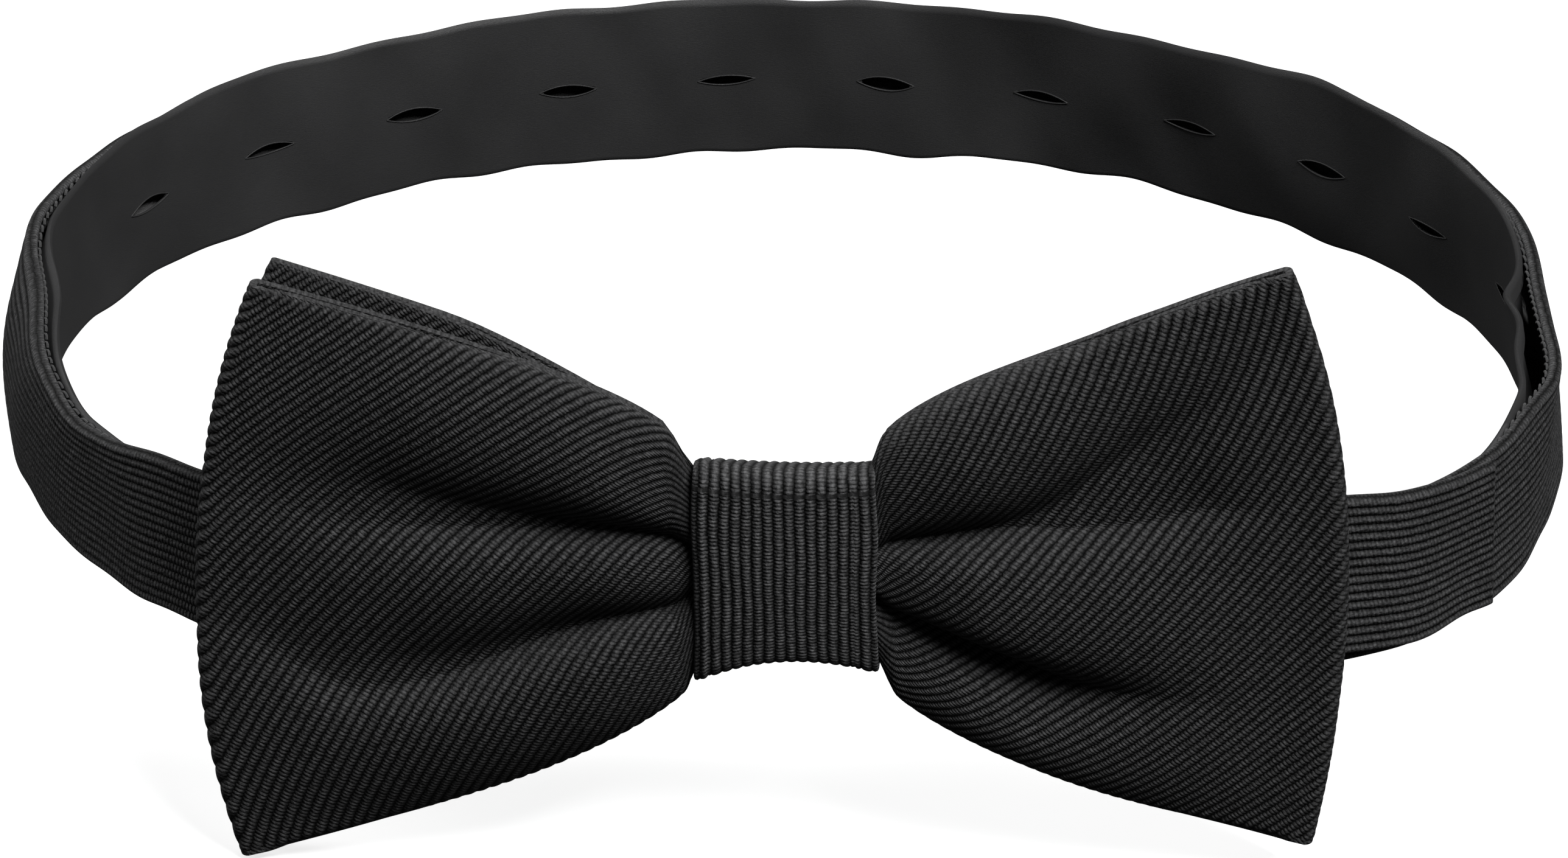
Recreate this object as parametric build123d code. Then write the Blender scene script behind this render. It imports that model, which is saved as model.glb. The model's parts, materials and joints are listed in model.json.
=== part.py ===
from build123d import *
import os
from math import cos, degrees, pi, radians, sin

# A ready-made bow tie on an adjustable neckband, in its wearing position.
# +X runs along the width of the bow, +Y from the bow to the nape, +Z up.
# The origin is in the middle of the neck opening, level with the band's middle
# and on the knot's mid-plane. All sizes are in millimetres.

# Neck loop: a straight front run, then arcs that all turn left, seen from above.
FRONT_Y = -55.7
FRONT_RIGHT = 43.0
CORNER = (35.0, 73.0)
RIGHT_SIDE = (64.0, 76.0)
NAPE = (103.0, 66.0)
LEFT_SIDE = (54.0, 115.0)

# Band section: ribbed cloth folded round an interlining, with a satin lining.
BAND_HEIGHT = 19.0
BAND_THICK = 2.4
CLOTH = 0.5
INTERLINING = 0.75
LINING = 0.45
HEM = 2.4
PLAY = 0.05
THREAD = 0.25
SEAM_DOWN = 1.2

# The slotted band lies inside the loop line, and the front strap outside it.
BAND_OUT = -0.6
STRAP_OUT = BAND_OUT + BAND_THICK + 0.4

# Distances along the loop line, from the knot and to the right.
TAIL_END = 21.0
TAIL_FOLD = 36.0
STRAP_END = 77.2
FLEX_BEFORE_CORNER = 11.0
LEFT_LAP_END = 30.0
LEFT_STRAP_END = 55.0
SPLIT_GAP = 0.1

# Slots for the hook, all along the slotted band.
FIRST_SLOT = 56.0
SLOT_PITCH = 18.2
SLOT_COUNT = 15
SLOT_LENGTH = 6.5
SLOT_HEIGHT = 1.4
RIM = 0.35
RIM_PATCH_HALF = 2.0

# The strap rises behind the bow, where the knot lifts it.
RISE = 6.4
LEVEL_HALF = 19.0
RAMP_END = 43.0

# Bow: two stacked cloth loops, gathered at the knot and a little tilted, the right wing up.
BOW_Z = 8.4
BOW_TILT = 2.4
WING_LEFT = 62.5
WING_RIGHT = 59.5
WING_CORNER_IN = 5.0
WING_HALF_HEIGHT = 34.3
WAIST_HALF_HEIGHT = 10.7
WAIST_PAST_KNOT = 0.6
SHOULDER_REACH = 0.27
SHOULDER_RISE = 0.5
BACK_BOW_THICK = 3.1
FRONT_BOW_THICK = 3.3
FRONT_BOW_PUFF = 3.8
PUFF_FROM_KNOT = 1.6
PUFF_TO_EDGE = 0.75
EDGE_THICK = 0.8
EDGE_THICK_LEAST = 2.5
BOW_STIFFENER = 0.6
BACK_BOW_LIFT = 1.0

# Knot: a strip of ribbed cloth wrapped round both loops and the strap.
KNOT_WIDTH = 20.0
KNOT_HEIGHT = 27.0
KNOT_THICK = 1.2
KNOT_PLY = 0.4
KNOT_CORNER = 1.6
BOW_TO_STRAP = 0.45
THREAD_ROUND = 0.35
THREAD_WIDTH = 2.4
KNOT_STITCHES = 7
KNOT_STITCH_LENGTH = 2.4

# Flat steel hook: a plate sewn into the strap, and a narrow neck and lip behind it.
HOOK_PLATE = (9.0, 8.0)
HOOK_METAL = 0.5
HOOK_BAR = 0.9
HOOK_LIP = 2.4
HOOK_NECK = 1.0
HOOK_HOLE = 1.0
HOOK_LIP_GAP = 0.9
HOOK_COVER = 0.25
HOOK_OUT = STRAP_OUT + BAND_THICK / 2 - CLOTH - PLAY - HOOK_COVER
TACK_ALONG = 1 / 3
TACK_UP = 0.3

# Half the size of a block that reaches past every piece it cuts.
BEYOND = 90.0


def arc_list():
    """Every arc of the loop as (radius, turn). The last one closes the loop."""
    arcs = [CORNER, RIGHT_SIDE, NAPE, LEFT_SIDE]
    last_turn = 360 - sum(turn for _, turn in arcs)
    heading = 0.0
    depth = 0.0
    for radius, turn in arcs:
        depth += radius * (cos(radians(heading)) - cos(radians(heading + turn)))
        heading += turn
    return arcs + [(depth / (1 - cos(radians(heading))), last_turn)]


def loop_runs():
    """The runs of the loop line: (start distance, length, x, y, heading, radius)."""
    runs = [(0.0, FRONT_RIGHT, 0.0, FRONT_Y, 0.0, None)]
    distance, x, y, heading = FRONT_RIGHT, FRONT_RIGHT, FRONT_Y, 0.0
    for radius, turn in arc_list():
        length = radius * radians(turn)
        runs.append((distance, length, x, y, heading, radius))
        after = heading + turn
        x += radius * (sin(radians(after)) - sin(radians(heading)))
        y += radius * (cos(radians(heading)) - cos(radians(after)))
        heading = after
        distance += length
    runs.append((distance, -x, x, y, heading, None))
    return runs


RUNS = loop_runs()
LOOP_LENGTH = RUNS[-1][0] + RUNS[-1][1]
LEFT_CORNER = RUNS[-2][0]
LEFT_FLEX = LEFT_CORNER - FLEX_BEFORE_CORNER


def station(distance, out=0.0):
    """A place on the loop line: (x, y, heading in degrees), moved outward by out."""
    distance = distance % LOOP_LENGTH
    run = [r for r in RUNS if r[0] <= distance + 1e-9][-1]
    start, _, x, y, heading, radius = run
    if radius is None:
        x += (distance - start) * cos(radians(heading))
        y += (distance - start) * sin(radians(heading))
    else:
        after = heading + degrees((distance - start) / radius)
        x += radius * (sin(radians(after)) - sin(radians(heading)))
        y += radius * (cos(radians(heading)) - cos(radians(after)))
        heading = after
    return x + out * sin(radians(heading)), y - out * cos(radians(heading)), heading


def point(distance, out):
    """The same place as a point at height 0."""
    x, y, _ = station(distance, out)
    return Vector(x, y, 0)


def stretches(start, stop):
    """The parts of each run that lie between two distances, stop after start."""
    found = []
    for lap in (0, LOOP_LENGTH):
        for begin, length, _, _, _, radius in RUNS:
            low = max(start, begin + lap)
            high = min(stop, begin + length + lap)
            if high - low > 1e-6:
                found.append((low, high, radius is not None))
    return found


def run_edge(low, high, curved, out):
    """One edge of a strip, on a straight run or on an arc. Ends stay inside the run."""
    first = point(low + 1e-7, out)
    last = point(high - 1e-7, out)
    if curved:
        return Edge.make_three_point_arc(first, point((low + high) / 2, out), last)
    return Edge.make_line(first, last)


def strip(start, stop, inner, outer, bottom, top):
    """A flat layer that follows the loop line between two offsets and two heights."""
    solid = None
    for low, high, curved in stretches(start, stop):
        outside = run_edge(low, high, curved, outer)
        inside = run_edge(low, high, curved, inner)
        ends = [
            Edge.make_line(outside @ 0, inside @ 0),
            Edge.make_line(outside @ 1, inside @ 1),
        ]
        face = Face(Wire([outside, inside] + ends))
        if face.normal_at().Z < 0:
            face = -face
        part = Pos(0, 0, bottom) * extrude(face, amount=top - bottom, dir=(0, 0, 1))
        solid = part if solid is None else solid + part
    return solid


def rising_line(first, last, height):
    """The upper or lower edge of the strap behind the bow, in the XZ plane."""
    middle = (LEVEL_HALF + RAMP_END) / 2
    raised = height + RISE
    edges = [Edge.make_line((-LEVEL_HALF, 0, raised), (LEVEL_HALF, 0, raised))]
    for side in (-1, 1):
        half_way = (side * middle, 0, height + RISE / 2)
        upper = (side * LEVEL_HALF, 0, raised)
        lower = (side * RAMP_END, 0, height)
        edges.append(Edge.make_tangent_arc(upper, (side, 0, 0), half_way))
        edges.append(Edge.make_tangent_arc(lower, (-side, 0, 0), half_way))
    if first < -RAMP_END:
        edges.append(Edge.make_line((first, 0, height), (-RAMP_END, 0, height)))
    if last > RAMP_END:
        edges.append(Edge.make_line((RAMP_END, 0, height), (last, 0, height)))
    return edges


def rising_layer(inner, outer, bottom, top):
    """A layer of the front strap on the straight run, which rises behind the knot."""
    first, last = RUNS[-1][2], FRONT_RIGHT
    ends = [Edge.make_line((x, 0, bottom), (x, 0, top)) for x in (first, last)]
    face = Face(Wire(rising_line(first, last, bottom) + rising_line(first, last, top) + ends))
    return Pos(0, FRONT_Y - inner, 0) * extrude(face, amount=outer - inner, dir=(0, -1, 0))


def strap_layer(start, stop, inner, outer, bottom, top):
    """A layer of the front strap from its left end to its right end."""
    left = strip(start, RUNS[-1][0], inner, outer, bottom, top)
    right = strip(FRONT_RIGHT, stop, inner, outer, bottom, top)
    return left + rising_layer(inner, outer, bottom, top) + right


def section(layer, start, stop, out):
    """Cloth, interlining, lining and stitch lines of a band between two distances."""
    half = BAND_THICK / 2
    tall = BAND_HEIGHT / 2
    inside = tall - CLOTH - PLAY
    face_out = out + half
    face_in = out - half
    cloth = layer(start, stop, face_out - CLOTH, face_out, -tall, tall)
    seams = []
    for side in (-1, 1):
        edge = sorted((side * tall, side * (tall - CLOTH)))
        lip = sorted((side * tall, side * (tall - HEM)))
        seam = sorted((side * (tall - SEAM_DOWN), side * (tall - SEAM_DOWN - THREAD)))
        cloth += layer(start, stop, face_in, face_out, *edge)
        cloth += layer(start, stop, face_in, face_in + CLOTH, *lip)
        seams.append(layer(start + 1, stop - 1, face_in - THREAD, face_in, *seam))
    core_out = face_out - CLOTH - PLAY
    core_in = core_out - INTERLINING
    core = layer(start + 2 * CLOTH, stop - 2 * CLOTH, core_in, core_out, -inside, inside)
    skin_out = core_in - PLAY
    skin = layer(start, stop, skin_out - LINING, skin_out, -inside, inside)
    return cloth, core, skin, seams


def lens(length, height):
    """A pointed oval lying along X, in the XZ plane."""
    top = Edge.make_three_point_arc((-length / 2, 0, 0), (0, 0, height / 2), (length / 2, 0, 0))
    bottom = Edge.make_three_point_arc((-length / 2, 0, 0), (0, 0, -height / 2), (length / 2, 0, 0))
    return Face(Wire([top, bottom]))


def slot_tool(distance, grow=0.0):
    """A lens-shaped prism that cuts one slot straight through the band."""
    x, y, heading = station(distance, BAND_OUT)
    face = lens(SLOT_LENGTH + 2 * grow, SLOT_HEIGHT + 2 * grow)
    tool = extrude(face, amount=2 * BAND_THICK, both=True)
    return Pos(x, y, 0) * Rot(0, 0, heading) * tool


def slot_rim(distance):
    """The whipped thread edge round one slot, on the lining."""
    lining_in = BAND_OUT + BAND_THICK / 2 - CLOTH - INTERLINING - LINING - 2 * PLAY
    ends = (distance - SLOT_LENGTH, distance + SLOT_LENGTH)
    patch = strip(*ends, lining_in - THREAD, lining_in, -RIM_PATCH_HALF, RIM_PATCH_HALF)
    return (patch & slot_tool(distance, RIM)) - slot_tool(distance)


def wing_outline(shift_z, inset):
    """The front view of the bow, as a face in the XZ plane."""
    top = WING_HALF_HEIGHT
    waist = WAIST_HALF_HEIGHT
    knot = KNOT_WIDTH / 2 + WAIST_PAST_KNOT
    edges = [
        Edge.make_line((-knot, 0, waist), (knot, 0, waist)),
        Edge.make_line((-knot, 0, -waist), (knot, 0, -waist)),
    ]
    for side, reach in ((-1, WING_LEFT), (1, WING_RIGHT)):
        corner = side * (reach - WING_CORNER_IN)
        shoulder = side * (knot + (reach - knot) * SHOULDER_REACH)
        for up in (-1, 1):
            edges.append(
                Edge.make_three_point_arc(
                    (side * knot, 0, up * waist),
                    (shoulder, 0, up * (waist + (top - waist) * SHOULDER_RISE)),
                    (corner, 0, up * top),
                )
            )
        edges.append(
            Edge.make_three_point_arc((corner, 0, top), (side * reach, 0, 0), (corner, 0, -top))
        )
    face = Face(Wire(edges))
    if inset:
        face = Face(face.outer_wire().offset_2d(-inset, kind=Kind.INTERSECTION))
    return Pos(0, 0, BOW_Z + shift_z) * Rot(0, -BOW_TILT, 0) * face


def bow_solid(back_y, thick, puff, shift_z, inset):
    """A bow loop seen as one closed form: flat behind and fuller in the wings in front."""
    slab = extrude(wing_outline(shift_z, inset), amount=BEYOND, both=True)
    slab = Pos(0, back_y, 0) * slab
    knot = KNOT_WIDTH / 2
    behind = back_y - inset
    centre = back_y - thick + inset
    full = back_y - thick - puff + inset
    rim = back_y - max(thick * EDGE_THICK, EDGE_THICK_LEAST) + inset
    outline = [(-BEYOND, behind), (BEYOND, behind), (BEYOND, rim), (WING_RIGHT * PUFF_TO_EDGE, full)]
    outline += [(knot * PUFF_FROM_KNOT, full), (knot, centre), (-knot, centre)]
    outline += [(-knot * PUFF_FROM_KNOT, full), (-WING_LEFT * PUFF_TO_EDGE, full), (-BEYOND, rim)]
    section_face = make_face(Polyline(*outline, close=True))
    depth = extrude(section_face, amount=BEYOND, both=True)
    return slab & depth


def hollow_bow(back_y, thick, puff, shift_z):
    """The cloth of one bow loop and the stiffening shell inside it."""
    cloth = bow_solid(back_y, thick, puff, shift_z, 0)
    cloth -= bow_solid(back_y, thick, puff, shift_z, CLOTH)
    stiffener = bow_solid(back_y, thick, puff, shift_z, CLOTH + PLAY)
    stiffener -= bow_solid(back_y, thick, puff, shift_z, CLOTH + PLAY + BOW_STIFFENER)
    return cloth, stiffener


def knot_ring(front, back, outer, inner, half_width):
    """A rounded ring in the side view, between two insets from the knot's outside."""
    middle = (front + back) / 2
    rings = []
    for inset in (outer, inner):
        size_y = back - front - 2 * inset
        size_z = KNOT_HEIGHT - 2 * inset
        corner = max(KNOT_CORNER - inset, 0.5)
        face = Plane.YZ * RectangleRounded(size_y, size_z, corner)
        rings.append(extrude(face, amount=half_width, both=True))
    return Pos(0, middle, BOW_Z) * (rings[0] - rings[1])


def hook_solid():
    """The hook: a plate inside the strap, a neck through the slot, and a lip."""
    length, width = HOOK_PLATE
    plate = strip(FIRST_SLOT - length / 2, FIRST_SLOT + length / 2,
                  HOOK_OUT - HOOK_METAL, HOOK_OUT, -width / 2, width / 2)
    x, y, _ = station(FIRST_SLOT, BAND_OUT)
    reach = HOOK_LIP + HOOK_NECK
    neck_x = x + (reach - HOOK_NECK) / 2
    lip_y = y + BAND_THICK / 2 + HOOK_LIP_GAP
    _, plate_y, _ = station(FIRST_SLOT + (reach - HOOK_NECK) / 2, HOOK_OUT - HOOK_METAL / 2)
    far_y = lip_y + HOOK_NECK
    hook = plate + Pos(neck_x, (plate_y + far_y) / 2, 0) * Box(HOOK_NECK, far_y - plate_y, HOOK_BAR)
    hook += Pos(x, lip_y + HOOK_NECK / 2, 0) * Box(reach, HOOK_NECK, HOOK_BAR)
    tips = [e for e in hook.edges().filter_by(Axis.Z) if e.center().Y > lip_y - PLAY]
    hook = fillet(tips, HOOK_NECK * 0.3)
    tacks = []
    for along in (-1, 1):
        for up in (-1, 1):
            distance = FIRST_SLOT + along * length * TACK_ALONG
            px, py, heading = station(distance, HOOK_OUT - HOOK_METAL / 2)
            turn = Pos(px, py, up * width * TACK_UP) * Rot(0, 0, heading) * Rot(90, 0, 0)
            hook -= turn * Cylinder(HOOK_HOLE / 2, 4 * HOOK_METAL)
            tacks.append(turn * Cylinder(HOOK_HOLE / 2 - PLAY, HOOK_METAL))
    return hook, tacks


def hook_pocket():
    """Room for the hook's plate in the strap's interlining."""
    length, width = HOOK_PLATE
    half = length / 2 + 2 * PLAY
    tall = width / 2 + PLAY
    return strip(FIRST_SLOT - half, FIRST_SLOT + half, HOOK_OUT - HOOK_METAL - 2 * PLAY,
                 HOOK_OUT + PLAY, -tall, tall)


def hook_passage():
    """The hole that lets the hook's neck out through the strap's inner layers."""
    x, y, _ = station(FIRST_SLOT, STRAP_OUT)
    tall = HOOK_BAR + 2 * PLAY
    return Pos(x, y + HOOK_METAL, 0) * Box(HOOK_LIP + 2 * HOOK_NECK, BAND_THICK, tall)


def save(name, *shapes):
    """Writes one node: every solid of the given shapes."""
    solids = [solid for shape in shapes for solid in shape.solids()]
    shape = solids[0] if len(solids) == 1 else Compound(children=solids)
    shape.label = name
    export_step(shape, f"parts/{name}.step")
    print(name, len(solids), "solids")


def save_band(name, parts):
    """Writes the layers of one stretch of band."""
    cloth, core, skin, seams = parts
    save(name + "_cloth", cloth)
    save(name + "_interlining", core)
    save(name + "_lining", skin)
    save(name + "_edge_stitches", *seams)


def build_strap():
    """The front strap with its folded ends, the hook and the stitches that hold it."""
    start = LOOP_LENGTH - LEFT_STRAP_END
    cloth, core, skin, seams = section(strap_layer, start, STRAP_END, STRAP_OUT)
    half, tall = BAND_THICK / 2, BAND_HEIGHT / 2
    for low, high in ((start, start + CLOTH), (STRAP_END - CLOTH, STRAP_END)):
        cloth += strip(low, high, STRAP_OUT - half, STRAP_OUT + half, -tall, tall)
    skin -= cloth
    hook, tacks = hook_solid()
    core -= hook_pocket()
    core -= hook_passage()
    skin -= hook_passage()
    save_band("strap", (cloth, core, skin, seams))
    save("hook", hook)
    save("hook_tacks", *tacks)


def build_band():
    """The slotted band: its sewn left end, the long middle and the free tail."""
    half, tall = BAND_THICK / 2, BAND_HEIGHT / 2
    lap_end = LOOP_LENGTH - LEFT_LAP_END
    start_parts = section(strip, LEFT_FLEX + SPLIT_GAP, lap_end, BAND_OUT)
    end_cap = strip(lap_end - CLOTH, lap_end, BAND_OUT - half, BAND_OUT + half, -tall, tall)
    cloth, core, skin, seams = start_parts
    save_band("band_left", (cloth + end_cap, core, skin - end_cap, seams))
    face_in = BAND_OUT - half
    bars = [
        strip(lap_end - back - THREAD, lap_end - back, face_in - THREAD, face_in, -tall + HEM, tall - HEM)
        for back in (3.0, 9.0)
    ]
    save("lap_stitches", *bars)

    slots = [FIRST_SLOT + k * SLOT_PITCH for k in range(SLOT_COUNT)]
    cloth, core, skin, seams = section(strip, TAIL_FOLD + SPLIT_GAP, LEFT_FLEX - SPLIT_GAP, BAND_OUT)
    for distance in slots:
        cut = slot_tool(distance)
        cloth -= cut
        core -= cut
        skin -= cut
    save_band("neckband", (cloth, core, skin, seams))
    save("slot_rims", *[slot_rim(distance) for distance in slots])

    cloth, core, skin, seams = section(strip, TAIL_END, TAIL_FOLD - SPLIT_GAP, BAND_OUT)
    end_cap = strip(TAIL_END, TAIL_END + CLOTH, BAND_OUT - half, BAND_OUT + half, -tall, tall)
    save_band("tail", (cloth + end_cap, core, skin - end_cap, seams))


def build_bow():
    """Two stacked bow loops, the gathering thread and the knot round them."""
    strap_front = FRONT_Y - STRAP_OUT - BAND_THICK / 2
    back_y = strap_front - BOW_TO_STRAP
    front_y = back_y - BACK_BOW_THICK - 2 * PLAY
    back_cloth, back_core = hollow_bow(back_y, BACK_BOW_THICK, 0.0, BACK_BOW_LIFT)
    front_cloth, front_core = hollow_bow(front_y, FRONT_BOW_THICK, FRONT_BOW_PUFF, 0.0)
    save("back_bow_cloth", back_cloth)
    save("back_bow_interlining", back_core)
    save("front_bow_cloth", front_cloth)
    save("front_bow_interlining", front_core)
    return back_y, front_y - FRONT_BOW_THICK


def build_knot(back_y, front_y):
    """The thread that gathers the bow loops, and the knot strip wrapped over it."""
    waist = WAIST_HALF_HEIGHT + BACK_BOW_LIFT
    middle = Pos(0, (front_y + back_y) / 2, BOW_Z)
    loops = middle * Box(THREAD_WIDTH, back_y - front_y + 2 * PLAY, 2 * waist + 2 * PLAY)
    wound = offset(loops, THREAD)
    wound &= middle * Box(THREAD_WIDTH, BEYOND, BEYOND)
    save("gathering_thread", wound - loops)

    knot_front = front_y - PLAY - THREAD_ROUND - KNOT_THICK
    inner_back = FRONT_Y - STRAP_OUT + BAND_THICK / 2 + THREAD + BOW_TO_STRAP / 3
    knot_back = inner_back + KNOT_THICK
    half = KNOT_WIDTH / 2
    inside = KNOT_PLY + PLAY
    cloth = knot_ring(knot_front, knot_back, 0, KNOT_THICK, half)
    cloth -= knot_ring(knot_front, knot_back, KNOT_PLY, KNOT_THICK - KNOT_PLY, half - KNOT_PLY)
    core = knot_ring(knot_front, knot_back, inside, KNOT_THICK - inside, half - inside)
    save("knot_cloth", cloth)
    save("knot_interlining", core)
    spacing = (KNOT_HEIGHT - 2 * KNOT_CORNER) / (KNOT_STITCHES + 1)
    bars = []
    for k in range(KNOT_STITCHES):
        height = BOW_Z - KNOT_HEIGHT / 2 + KNOT_CORNER + (k + 1) * spacing
        stitch = Box(KNOT_STITCH_LENGTH, THREAD, 1.5 * THREAD)
        bars.append(Pos(0, knot_back + THREAD / 2, height) * stitch)
    save("knot_stitches", *bars)
    print("knot from y", round(knot_front, 2), "to", round(knot_back, 2))


os.makedirs("parts", exist_ok=True)
build_strap()
build_band()
build_knot(*build_bow())
print("loop length", round(LOOP_LENGTH, 1), "closing radius", round(arc_list()[-1][0], 2))
print("left flex at", [round(v, 3) for v in station(LEFT_FLEX, BAND_OUT + BAND_THICK / 2 + PLAY)])
print("tail fold at", [round(v, 3) for v in station(TAIL_FOLD, BAND_OUT - BAND_THICK / 2 - PLAY)])
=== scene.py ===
import json
from dataclasses import dataclass
from typing import Callable

import bmesh
import bpy
import numpy as np
from mathutils import Matrix, Vector


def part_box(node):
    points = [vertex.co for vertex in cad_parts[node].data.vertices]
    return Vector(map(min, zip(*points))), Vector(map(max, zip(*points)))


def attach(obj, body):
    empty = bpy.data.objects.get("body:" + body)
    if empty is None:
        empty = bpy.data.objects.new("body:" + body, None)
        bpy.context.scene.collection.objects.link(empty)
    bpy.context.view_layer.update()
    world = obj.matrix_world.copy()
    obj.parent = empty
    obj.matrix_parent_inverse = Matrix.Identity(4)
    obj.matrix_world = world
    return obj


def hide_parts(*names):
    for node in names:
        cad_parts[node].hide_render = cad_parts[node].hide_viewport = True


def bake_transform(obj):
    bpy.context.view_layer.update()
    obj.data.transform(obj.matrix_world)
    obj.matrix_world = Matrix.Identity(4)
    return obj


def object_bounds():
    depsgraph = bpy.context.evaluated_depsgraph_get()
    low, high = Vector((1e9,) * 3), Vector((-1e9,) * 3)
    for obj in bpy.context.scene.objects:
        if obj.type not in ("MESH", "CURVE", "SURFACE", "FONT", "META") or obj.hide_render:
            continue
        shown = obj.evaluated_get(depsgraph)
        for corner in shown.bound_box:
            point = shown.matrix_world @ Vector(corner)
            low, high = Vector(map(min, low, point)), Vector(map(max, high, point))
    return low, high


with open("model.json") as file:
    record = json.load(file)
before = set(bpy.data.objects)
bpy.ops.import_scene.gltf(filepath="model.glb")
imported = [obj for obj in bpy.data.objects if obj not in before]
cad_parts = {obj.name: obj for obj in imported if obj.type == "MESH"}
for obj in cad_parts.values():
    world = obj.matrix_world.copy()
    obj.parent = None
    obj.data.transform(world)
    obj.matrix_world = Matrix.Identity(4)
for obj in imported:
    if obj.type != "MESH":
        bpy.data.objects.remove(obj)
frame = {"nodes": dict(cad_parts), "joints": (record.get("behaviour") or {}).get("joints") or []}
cad_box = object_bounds()

# Lengths are in millimetres until a mesh is made, and MM turns them into metres.
MM = 0.001


def span(node, axis):
    """The lowest and highest place of a CAD node along x, y or z."""
    return [round(getattr(corner, axis) / MM, 3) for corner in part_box(node)]


def middle(node, axis):
    """The middle place of a CAD node along x, y or z."""
    low, high = span(node, axis)
    return round((low + high) / 2, 3)


def size(node, axis):
    """The size of a CAD node along x, y or z."""
    low, high = span(node, axis)
    return round(high - low, 3)


JOINTS = {joint["name"]: joint for joint in frame["joints"]}

# The band's section. Its cloth and its lining are each folded over at both edges.
BAND_HALF = size("tail_cloth", "z") / 2
BAND_THICK = size("tail_cloth", "y")
BAND_CLOTH_THICK = 0.45
CLOTH_FOLD = 1.3
CLOTH_LIP = 2.4
LINING_THICK = 0.3
LINING_FOLD = 0.75
LINING_LIP = 1.5
LINING_INSET = 0.15
STRAP_LINING_INSET = 0.8
FELT_THICK = 0.3
FELT_HALF = 8.4
SEAM_HALF = 9.0
STRAP_SEAM_HALF = 8.5
STITCH_PITCH = 1.5
END_HEM = 1.0

# How far the slotted band and the strap lie outside the loop line.
BAND_OUT = -0.6
FRONT_Y = middle("tail_cloth", "y") + BAND_OUT
STRAP_FACE = span("strap_cloth", "y")[0]
STRAP_OUT = FRONT_Y - STRAP_FACE - BAND_THICK / 2

# The loop line of the neckband, as the frame has it: a straight front run and arcs
# (radius, turn in degrees) that turn left, seen from above. One more arc closes it.
FRONT_RIGHT = 43.0
ARCS = ((35.0, 73.0), (64.0, 76.0), (103.0, 66.0), (54.0, 115.0))

# Places along the loop line, from the knot's middle towards +X. LEFT_LAP_END and
# LEFT_STRAP_END are measured back from it, towards -X.
TAIL_END = span("tail_cloth", "x")[0]
TAIL_FOLD = round(JOINTS["tail_fold"]["pos_m"][0] / MM, 3)
STRAP_END = 77.2
LAP_START = 61.0
LEFT_LAP_END = -span("band_left_cloth", "x")[1]
LEFT_STRAP_END = 55.0
FLEX_BEFORE_CORNER = 11.0

# The strap is lifted behind the bow and squeezed in the knot.
RISE = 6.1
SQUEEZE = 0.13
LEVEL_HALF = 19.0
RAMP_END = 43.0

# The slots of the band. The cloth is pushed apart near a slot, over SLOT_SPREAD, and GAPE is how
# far each layer's cut stands open, as a part of the slot's height.
FIRST_SLOT = 56.0
SLOT_PITCH = 18.2
SLOT_COUNT = 15
SLOT_LENGTH = 6.5
SLOT_HEIGHT = 1.4
SLOT_SPREAD = 2.2
GAPE = {"cloth": 0.12, "interlining": 0.5, "lining": 0.8}

# The rib weave: the cords' spacing and height, and the threads across them. On the bow the
# cords run on the bias and fan out a little.
RIB = 1.12
BAND_RIB = 1.04
RIB_HEIGHT = 0.2
CROSS_THREAD = 0.45
BIAS = np.radians(52)
FAN = 0.2

# The bow: its middle height, its layers, and half the width of the strip it is folded from.
# The ribs are pressed flat between these two distances from the strip's edge, and the front
# ply rolls over along its edge.
BOW_Z = middle("knot_cloth", "z")
BOW_CLOTH_THICK = 0.8
BOW_FELT_THICK = 0.15
STRIP_HALF = 34.5
PRESSED_RIM = (0.9, 0.35)
ROLL = 1.1

# The radii of the threads.
SEAM_THREAD = 0.15
SLOT_THREAD = 0.08
GATHERING_THREAD = 0.2
WHIP_THREAD = 0.17

# The knot is a folded strip round the bow, drawn in a little from the CAD knot.
KNOT_FRONT = span("knot_cloth", "y")[0] + 0.25
KNOT_BACK = span("knot_cloth", "y")[1] - 0.1
KNOT_TALL = size("knot_cloth", "z") / 2
KNOT_HALF = size("knot_cloth", "x") / 2 - 0.5
KNOT_THICK = 1.1
KNOT_PLY = 0.45
KNOT_LIP = 4.0
KNOT_FELT_HALF = 8.8
KNOT_FELT_THICK = 0.16
KNOT_STITCHES = 8


# ---------------------------------------------------------------- loop line
def loop_runs():
    """The runs of the loop line: (start, length, x, y, heading, radius or None)."""
    arcs = list(ARCS)
    turned = np.cumsum([0.0] + [turn for _, turn in arcs])
    depth = sum(r * (np.cos(np.radians(a)) - np.cos(np.radians(b)))
                for (r, _), a, b in zip(arcs, turned, turned[1:]))
    arcs.append((depth / (1 - np.cos(np.radians(turned[-1]))), 360 - turned[-1]))
    runs = [(0.0, FRONT_RIGHT, 0.0, FRONT_Y, 0.0, None)]
    s, x, y, heading = FRONT_RIGHT, FRONT_RIGHT, FRONT_Y, 0.0
    for radius, turn in arcs:
        after = heading + np.radians(turn)
        runs.append((s, radius * np.radians(turn), x, y, heading, radius))
        x += radius * (np.sin(after) - np.sin(heading))
        y += radius * (np.cos(heading) - np.cos(after))
        s += radius * np.radians(turn)
        heading = after
    runs.append((s, -x, x, y, heading, None))
    return runs


RUNS = loop_runs()
LOOP = RUNS[-1][0] + RUNS[-1][1]
LEFT_FLEX = RUNS[-2][0] - FLEX_BEFORE_CORNER
LEFT_END = LOOP - LEFT_LAP_END


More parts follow.
